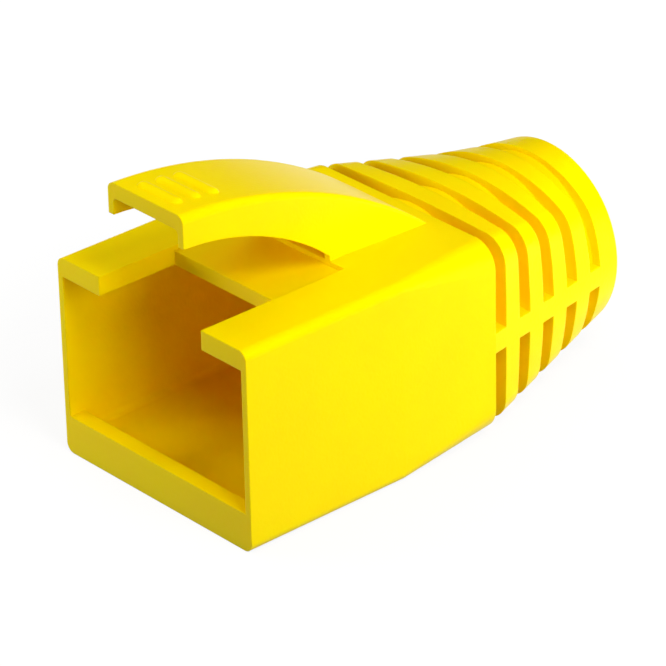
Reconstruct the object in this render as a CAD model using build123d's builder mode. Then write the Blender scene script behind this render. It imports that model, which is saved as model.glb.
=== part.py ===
# Strain relief boot for an eight-way modular plug, one flexible moulding.
# A thin-walled hood slides over the rear of the plug, an arched lever stands
# over the plug's latch, and a grooved tail bends with the cable.
# Sizes are in millimetres. The plug goes in along +Y, and up is +Z. The
# origin is on the underside, in the middle of the boot's length and width.
from build123d import *
from math import asin, cos, sin, sqrt
import os

# Hood, the box that takes the plug
hood_width = 14.0
hood_height = 10.9
hood_corner = 0.5
hood_straight = 10.0
side_wall = 0.36
top_wall = 1.05
floor_wall = 1.05
pocket_depth = 12.6
pocket_corner = 0.35
lip_height = 1.02
lip_depth = 0.9

# Latch slot through the top wall, and the shallow seat behind it
slot_width = 7.6
slot_depth = 4.76
seat_depth = 4.33
seat_sink = 0.26

# Neck, the section where the grooves begin
neck_distance = 16.24
neck_width = 13.78
neck_height = 10.5
neck_corner = 1.4

# Tail, with its round end, its cable bore and the bending grooves
boot_length = 26.6
tail_diameter = 10.2
tail_edge = 0.12
bore_diameter = 6.2
bore_edge = 0.2
core_diameter = 9.72
groove_count = 5
groove_width = 0.86
groove_pitch = 1.975
spine_height = 1.12
spine_drop = 0.13

# Latch lever, an arched channel that is rooted behind the slot
lever_width = 5.52
lever_skirt = 0.38
lever_roof = 0.8
lever_radius = 26.0
lever_lead = 0.75
lever_front_height = 16.47
lever_sweep = 42.0
front_round = 0.45
root_round = 0.1
skirt_radius = 14.5
skirt_front_height = 14.77
skirt_rear_height = 11.2
channel_length = 12.8
channel_round = 0.25

# Grip ribs across the front of the lever
rib_count = 3
rib_length = 3.15
rib_radius = 0.41
rib_rise = 0.2
rib_first = 0.95
rib_pitch = 1.12

# Places and sizes that follow
mouth_y = -boot_length / 2
axis_z = hood_height / 2
pocket_width = hood_width - 2 * side_wall
pocket_roof = hood_height - top_wall
lip_top = floor_wall + lip_height
seat_end = slot_depth + seat_depth
lever_foot = hood_height - top_wall / 2
lever_centre_y = mouth_y - lever_lead
lever_centre_z = lever_front_height - sqrt(lever_radius**2 - lever_lead**2)


def across(distance, height=axis_z):
    """Plane across the boot, a distance behind the mouth, with its centre at a height."""
    return Plane(origin=(0, mouth_y + distance, height), x_dir=(-1, 0, 0), z_dir=(0, 1, 0))


def beside(distance, height):
    """Point in a side view, a distance behind the mouth and a height above the underside."""
    return (mouth_y + distance, height)


# Hollow under the lever, open at the front and down to the latch slot
with BuildPart() as channel:
    with BuildSketch(Plane.YZ):
        with Locations((lever_centre_y, lever_centre_z)):
            Circle(lever_radius - lever_roof)
        with Locations(beside(-lever_lead, hood_height)):
            channel_run = channel_length + lever_lead
            Rectangle(channel_run, hood_height, align=(Align.MIN, Align.MIN), mode=Mode.INTERSECT)
        with Locations(beside(seat_end, hood_height)):
            Rectangle(seat_end + lever_lead, top_wall, align=(Align.MAX, Align.MAX))
    extrude(amount=lever_width / 2 - lever_skirt, both=True)
    roof_edges = channel.edges().filter_by(GeomType.CIRCLE).group_by(SortBy.RADIUS)[-1]
    fillet(roof_edges, channel_round)

# Grip rib, a round bar with domed ends
with BuildPart() as rib:
    with BuildSketch(Plane.XZ):
        SlotOverall(rib_length, 2 * rib_radius)
        Rectangle(rib_length, rib_radius, align=(Align.CENTER, Align.MAX), mode=Mode.SUBTRACT)
    revolve(axis=Axis.X)

# Crown of the lever, swept along its arched top. Its long edges are well
# rounded at the front and nearly sharp at the root
with BuildPart() as crown:
    with BuildLine(Plane.YZ) as crest:
        CenterArc((lever_centre_y, lever_centre_z), lever_radius, 90, -lever_sweep)
    crest_path = crest.wires()[0]
    for share, edge_round in ((0, front_round), (1, root_round)):
        crest_point = crest_path @ share
        with BuildSketch(Plane(crest_point, x_dir=(-1, 0, 0), z_dir=crest_path % share)) as section:
            Rectangle(lever_width, hood_height, align=(Align.CENTER, Align.MAX))
            fillet(section.vertices().group_by(Axis.Y)[-1], edge_round)
    sweep(multisection=True)

# Lever: the crown's arch above, and skirts that hang down to a second arc, so
# that they are deep at the root and shallow at the front
with BuildPart() as lever:
    with BuildSketch(Plane.YZ):
        with Locations(beside(0, lever_foot)):
            Rectangle(boot_length, hood_height, align=(Align.MIN, Align.MIN))
        with BuildLine():
            skirt_front = beside(0, skirt_front_height)
            skirt_rear = beside(seat_end, skirt_rear_height)
            RadiusArc(skirt_front, skirt_rear, skirt_radius)
            Polyline(skirt_rear, beside(seat_end, lever_foot), beside(0, lever_foot), skirt_front)
        make_face(mode=Mode.SUBTRACT)
    extrude(amount=lever_width, both=True)
    add(crown.part, mode=Mode.INTERSECT)
    add(channel.part, mode=Mode.SUBTRACT)

    # The ribs follow the arched top, each sunk into it
    rib_orbit = lever_radius + rib_rise - rib_radius
    for index in range(rib_count):
        rib_angle = asin(lever_lead / lever_radius) + (rib_first + index * rib_pitch) / lever_radius
        rib_y = lever_centre_y + rib_orbit * sin(rib_angle)
        rib_z = lever_centre_z + rib_orbit * cos(rib_angle)
        with Locations((0, rib_y, rib_z)):
            add(rib.part)

# Boot: hood, neck and tail in one body, with the lever moulded onto it
with BuildPart() as boot:
    # Hood, straight near the mouth and then drawn in to the neck
    with BuildSketch(across(0)):
        RectangleRounded(hood_width, hood_height, hood_corner)
    extrude(amount=hood_straight)
    with BuildSketch(across(hood_straight)):
        RectangleRounded(hood_width, hood_height, hood_corner)
    with BuildSketch(across(neck_distance)):
        RectangleRounded(neck_width, neck_height, neck_corner)
    loft(ruled=True)

    # Tail, whose flat neck sides turn into crowned ones on the way to a circle
    with BuildSketch(across(neck_distance)):
        RectangleRounded(neck_width, neck_height, neck_corner)
    with BuildSketch(across(boot_length)):
        Circle(tail_diameter / 2)
    loft(ruled=True)
    chamfer(boot.edges().group_by(Axis.Y)[-1], tail_edge)

    # Bending grooves round the core, bridged by a spine along each side
    for index in range(groove_count):
        with BuildSketch(across(neck_distance + index * groove_pitch)):
            Rectangle(2 * hood_width, 2 * hood_height)
            Circle(core_diameter / 2, mode=Mode.SUBTRACT)
            with Locations((0, -spine_drop)):
                Rectangle(2 * hood_width, spine_height, mode=Mode.SUBTRACT)
        extrude(amount=groove_width, mode=Mode.SUBTRACT)

    # Plug pocket behind a lip along the lower edge of the mouth
    with BuildSketch(across(0, (lip_top + pocket_roof) / 2)):
        Rectangle(pocket_width, pocket_roof - lip_top)
    extrude(amount=pocket_depth, mode=Mode.SUBTRACT)
    with BuildSketch(across(lip_depth, (floor_wall + pocket_roof) / 2)):
        RectangleRounded(pocket_width, pocket_roof - floor_wall, pocket_corner)
    extrude(amount=pocket_depth - lip_depth, mode=Mode.SUBTRACT)

    # Funnel from the pocket to the cable bore
    with BuildSketch(across(pocket_depth, (floor_wall + pocket_roof) / 2)):
        RectangleRounded(pocket_width, pocket_roof - floor_wall, pocket_corner)
    with BuildSketch(across(neck_distance)):
        Circle(bore_diameter / 2)
    loft(ruled=True, mode=Mode.SUBTRACT)
    with BuildSketch(across(neck_distance)):
        Circle(bore_diameter / 2)
    extrude(amount=boot_length - neck_distance, mode=Mode.SUBTRACT)
    rear_circles = boot.edges().filter_by(GeomType.CIRCLE).group_by(Axis.Y)[-1]
    chamfer(rear_circles.group_by(SortBy.RADIUS)[0], bore_edge)

    # Latch slot and the seat behind it, both under the lever
    with BuildSketch(Plane.XY.offset(axis_z)):
        with Locations((0, mouth_y)):
            Rectangle(slot_width, slot_depth, align=(Align.CENTER, Align.MIN))
    extrude(amount=hood_height, mode=Mode.SUBTRACT)
    with BuildSketch(Plane.XY.offset(hood_height - seat_sink)):
        with Locations((0, mouth_y)):
            Rectangle(slot_width, seat_end, align=(Align.CENTER, Align.MIN))
    extrude(amount=hood_height, mode=Mode.SUBTRACT)

    add(lever.part)

boot.part.label = "strain_relief_boot"
os.makedirs("parts", exist_ok=True)
export_step(boot.part, "parts/strain_relief_boot.step")
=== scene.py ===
"""Looks for a strain relief boot of a modular plug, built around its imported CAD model.

The boot is a single moulding of flexible yellow vinyl. Lengths are in metres,
in the frame of the CAD: +Y runs from the mouth to the tail, and +Z is up.
"""

import math

import bpy
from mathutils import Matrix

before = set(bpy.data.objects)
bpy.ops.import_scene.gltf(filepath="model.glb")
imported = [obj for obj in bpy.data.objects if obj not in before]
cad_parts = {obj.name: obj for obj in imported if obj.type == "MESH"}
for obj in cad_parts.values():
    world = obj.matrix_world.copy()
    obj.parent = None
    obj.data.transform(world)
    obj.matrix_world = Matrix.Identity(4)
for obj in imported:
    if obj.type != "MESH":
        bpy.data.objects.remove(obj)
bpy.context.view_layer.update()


# Boot. The real piece is injection moulded in one shot from plasticised PVC,
# dyed yellow through. The mould is finely eroded, so the skin is satin, and its
# edges are barely broken. It stays the CAD solid and gets its vinyl here.

MM = 0.001
DEEP_YELLOW = "#F9D900"
LIGHT_YELLOW = "#F9DD00"
FLOW_WIDTH = 4 * MM
FLOW_LOW = 0.3
FLOW_HIGH = 0.7
SHINY_ROUGHNESS = 0.28
SATIN_ROUGHNESS = 0.34
GRAIN_WIDTH = 0.15 * MM
GRAIN_DEPTH = 0.012 * MM
BROKEN_EDGE = 0.06 * MM
LIGHT_DEPTH = 0.8 * MM


def linear(hex_colour):
    """An sRGB hex value as a linear, opaque colour."""
    channels = [int(hex_colour[i:i + 2], 16) / 255 for i in (1, 3, 5)]
    light = [c / 12.92 if c <= 0.04045 else ((c + 0.055) / 1.055) ** 2.4 for c in channels]
    return (*light, 1.0)


def add_node(tree, kind, settings=None, inputs=None):
    """A node with its settings and its inputs. An input is a value, or the output to link."""
    node = tree.nodes.new(kind)
    for name, value in (settings or {}).items():
        setattr(node, name, value)
    for name, value in (inputs or {}).items():
        if isinstance(value, bpy.types.NodeSocket):
            tree.links.new(value, node.inputs[name])
        else:
            node.inputs[name].default_value = value
    return node


def moulded_vinyl():
    """Plasticised PVC, injection moulded: saturated, soft in its shadows, and dull head-on."""
    skin = bpy.data.materials.new("moulded_yellow_pvc")
    skin.use_nodes = True
    tree = skin.node_tree
    tree.nodes.clear()
    place = add_node(tree, "ShaderNodeTexCoord").outputs["Object"]

    # The dye is a shade uneven where the melt has flowed, in patches of about 4 mm.
    flow = add_node(tree, "ShaderNodeTexNoise", {"noise_dimensions": "3D"},
                    {"Vector": place, "Scale": 1 / FLOW_WIDTH, "Detail": 3.0, "Roughness": 0.5})
    dye = add_node(tree, "ShaderNodeValToRGB", inputs={"Fac": flow.outputs["Fac"]})
    dye.color_ramp.elements[0].position = FLOW_LOW
    dye.color_ramp.elements[0].color = linear(DEEP_YELLOW)
    dye.color_ramp.elements[1].position = FLOW_HIGH
    dye.color_ramp.elements[1].color = linear(LIGHT_YELLOW)

    # The same patches are a little shinier where the melt met a colder mould.
    sheen = add_node(tree, "ShaderNodeMapRange", inputs={
        "Value": flow.outputs["Fac"], "From Min": FLOW_LOW, "From Max": FLOW_HIGH,
        "To Min": SHINY_ROUGHNESS, "To Max": SATIN_ROUGHNESS})

    # The eroded mould leaves a grain 0.05 mm wide and 0.012 mm deep. It is drawn
    # coarser, 0.15 mm wide, to show up close, and breaks the sheen up to satin.
    grain = add_node(tree, "ShaderNodeTexNoise", {"noise_dimensions": "3D"},
                     {"Vector": place, "Scale": 1 / GRAIN_WIDTH, "Detail": 2.0, "Roughness": 0.6})
    edge = add_node(tree, "ShaderNodeBevel", {"samples": 6}, {"Radius": BROKEN_EDGE})
    relief = add_node(tree, "ShaderNodeBump", inputs={
        "Strength": 1.0, "Distance": GRAIN_DEPTH,
        "Height": grain.outputs["Fac"], "Normal": edge.outputs["Normal"]})

    # Head-on the vinyl hardly mirrors. Light sinks in, red the deepest, and warms
    # the thin walls and the shadows.
    body = add_node(tree, "ShaderNodeBsdfPrincipled", inputs={
        "Base Color": dye.outputs["Color"],
        "Normal": relief.outputs["Normal"],
        "Roughness": sheen.outputs["Result"],
        "IOR": 1.5,
        "Specular IOR Level": 0.08,
        "Subsurface Weight": 0.25,
        "Subsurface Radius": (1.0, 0.55, 0.1),
        "Subsurface Scale": LIGHT_DEPTH})
    add_node(tree, "ShaderNodeOutputMaterial", inputs={"Surface": body.outputs["BSDF"]})
    return skin


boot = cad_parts["strain_relief_boot"]
boot.material_slots[0].material = moulded_vinyl()


# Floor. A sheet of white card lies under the boot, a hair below it. The camera
# sees it as plain white, with only the boot's own soft shadow left.

CARD_REACH = 2.0
CARD_DROP = 0.02 * MM
CARD_GREY = "#616161"
NEAR_REACH = 20 * MM
FAR_REACH = 60 * MM
NEAR_GLOW = 0.88


def seen_by(tree, *rays):
    """1 on a ray of any of these kinds, as Light Path names them, and 0 on every other."""
    path = add_node(tree, "ShaderNodeLightPath")
    seen = path.outputs[rays[0]]
    for kind in rays[1:]:
        seen = add_node(tree, "ShaderNodeMath", {"operation": "MAXIMUM"},
                        {0: seen, 1: path.outputs[kind]}).outputs["Value"]
    return seen


floor_mesh = bpy.data.meshes.new("white_card")
floor_mesh.from_pydata(
    [(-CARD_REACH, -CARD_REACH, -CARD_DROP), (CARD_REACH, -CARD_REACH, -CARD_DROP),
     (CARD_REACH, CARD_REACH, -CARD_DROP), (-CARD_REACH, CARD_REACH, -CARD_DROP)],
    [], [(0, 1, 2, 3)])
floor = bpy.data.objects.new("white_card", floor_mesh)
bpy.context.scene.collection.objects.link(floor)

card = bpy.data.materials.new("matt_white_card")
card.use_nodes = True
card_tree = card.node_tree
card_tree.nodes.clear()

# The white is mostly a glow, which shows but lights nothing. Near the boot it is
# weaker, and the lamps on the card's own grey make up the rest, but for the shadow.
seen = seen_by(card_tree, "Is Camera Ray", "Is Glossy Ray", "Is Transmission Ray")
spot = add_node(card_tree, "ShaderNodeTexCoord").outputs["Object"]
reach = add_node(card_tree, "ShaderNodeVectorMath", {"operation": "LENGTH"}, {0: spot})
glow = add_node(card_tree, "ShaderNodeMapRange", inputs={
    "Value": reach.outputs["Value"], "From Min": NEAR_REACH, "From Max": FAR_REACH,
    "To Min": NEAR_GLOW, "To Max": 1.0})
lit = add_node(card_tree, "ShaderNodeMath", {"operation": "MULTIPLY"},
               {0: glow.outputs["Result"], 1: seen})
white = add_node(card_tree, "ShaderNodeEmission", inputs={"Strength": lit.outputs["Value"]})
matt = add_node(card_tree, "ShaderNodeBsdfDiffuse", inputs={"Color": linear(CARD_GREY)})
both = add_node(card_tree, "ShaderNodeAddShader",
                inputs={0: white.outputs["Emission"], 1: matt.outputs["BSDF"]})
add_node(card_tree, "ShaderNodeOutputMaterial", inputs={"Surface": both.outputs["Shader"]})
card.cycles.emission_sampling = "NONE"
floor_mesh.materials.append(card)


# Light. Softboxes stand round the boot: four on its right, from low and close
# to high and far, one low and one high on its left, and one overhead. None of
# them mirrors in the vinyl, whose sheen comes from the white card alone.

AIM_HEIGHT = 6 * MM
ROOM_LIGHT = 0.03


def softbox(name, place, size, power):
    """A square softbox at a place, turned to the middle of the boot."""
    lamp = bpy.data.lights.new(name, "AREA")
    lamp.shape = "SQUARE"
    lamp.size = size
    lamp.energy = power
    box = bpy.data.objects.new(name, lamp)
    box.location = place
    tilt = math.atan2(math.hypot(place[0], place[1]), place[2] - AIM_HEIGHT)
    turn = math.atan2(-place[1], -place[0]) - math.pi / 2
    box.rotation_euler = (tilt, 0, turn)
    box.visible_camera = False
    box.visible_glossy = False
    bpy.context.scene.collection.objects.link(box)


softbox("low_right_softbox", (0.03, 0.035, 0.012), 0.02, 0.0138)
softbox("right_softbox", (0.10, -0.03, 0.03), 0.04, 0.0372)
softbox("high_right_softbox", (0.10, 0.0, 0.07), 0.05, 0.0380)
softbox("top_right_softbox", (0.08, -0.02, 0.12), 0.05, 0.0783)
softbox("low_left_softbox", (-0.05, -0.06, 0.02), 0.04, 0.0321)
softbox("high_left_softbox", (-0.08, 0.0, 0.12), 0.08, 0.0553)
softbox("overhead_softbox", (0.0, -0.02, 0.08), 0.04, 0.0100)

room = bpy.data.worlds.new("white_room")
bpy.context.scene.world = room
room.use_nodes = True
room_tree = room.node_tree
room_tree.nodes.clear()

# Behind the card the room is white as well. Only the vinyl's faint gloss doesn't
# mirror it, which keeps the whitish sheen at the root of the lever.
level = add_node(room_tree, "ShaderNodeMapRange", inputs={
    "Value": seen_by(room_tree, "Is Camera Ray", "Is Transmission Ray"),
    "To Min": ROOM_LIGHT, "To Max": 1.0})
air = add_node(room_tree, "ShaderNodeBackground", inputs={
    "Color": linear("#FFFFFF"), "Strength": level.outputs["Result"]})
add_node(room_tree, "ShaderNodeOutputWorld", inputs={"Surface": air.outputs["Background"]})


# Camera. It stands at the photograph's viewpoint, on the right, in front and
# above, with a long lens that was worked out from the hood's straight edges.

lens = bpy.data.cameras.new("camera")
lens.lens = 240.64
lens.sensor_width = 36.0
lens.clip_start = 0.01
lens.clip_end = 10.0
camera = bpy.data.objects.new("camera", lens)
camera.location = (0.146779, -0.130644, 0.109530)
camera.rotation_euler = (math.radians(61.8427), math.radians(1.1290), math.radians(48.0934))
bpy.context.scene.collection.objects.link(camera)
bpy.context.scene.camera = camera

bpy.context.scene.view_settings.view_transform = "Standard"

# Light reaches the bottom of the plug pocket only after many bounces.
bpy.context.scene.cycles.diffuse_bounces = 12
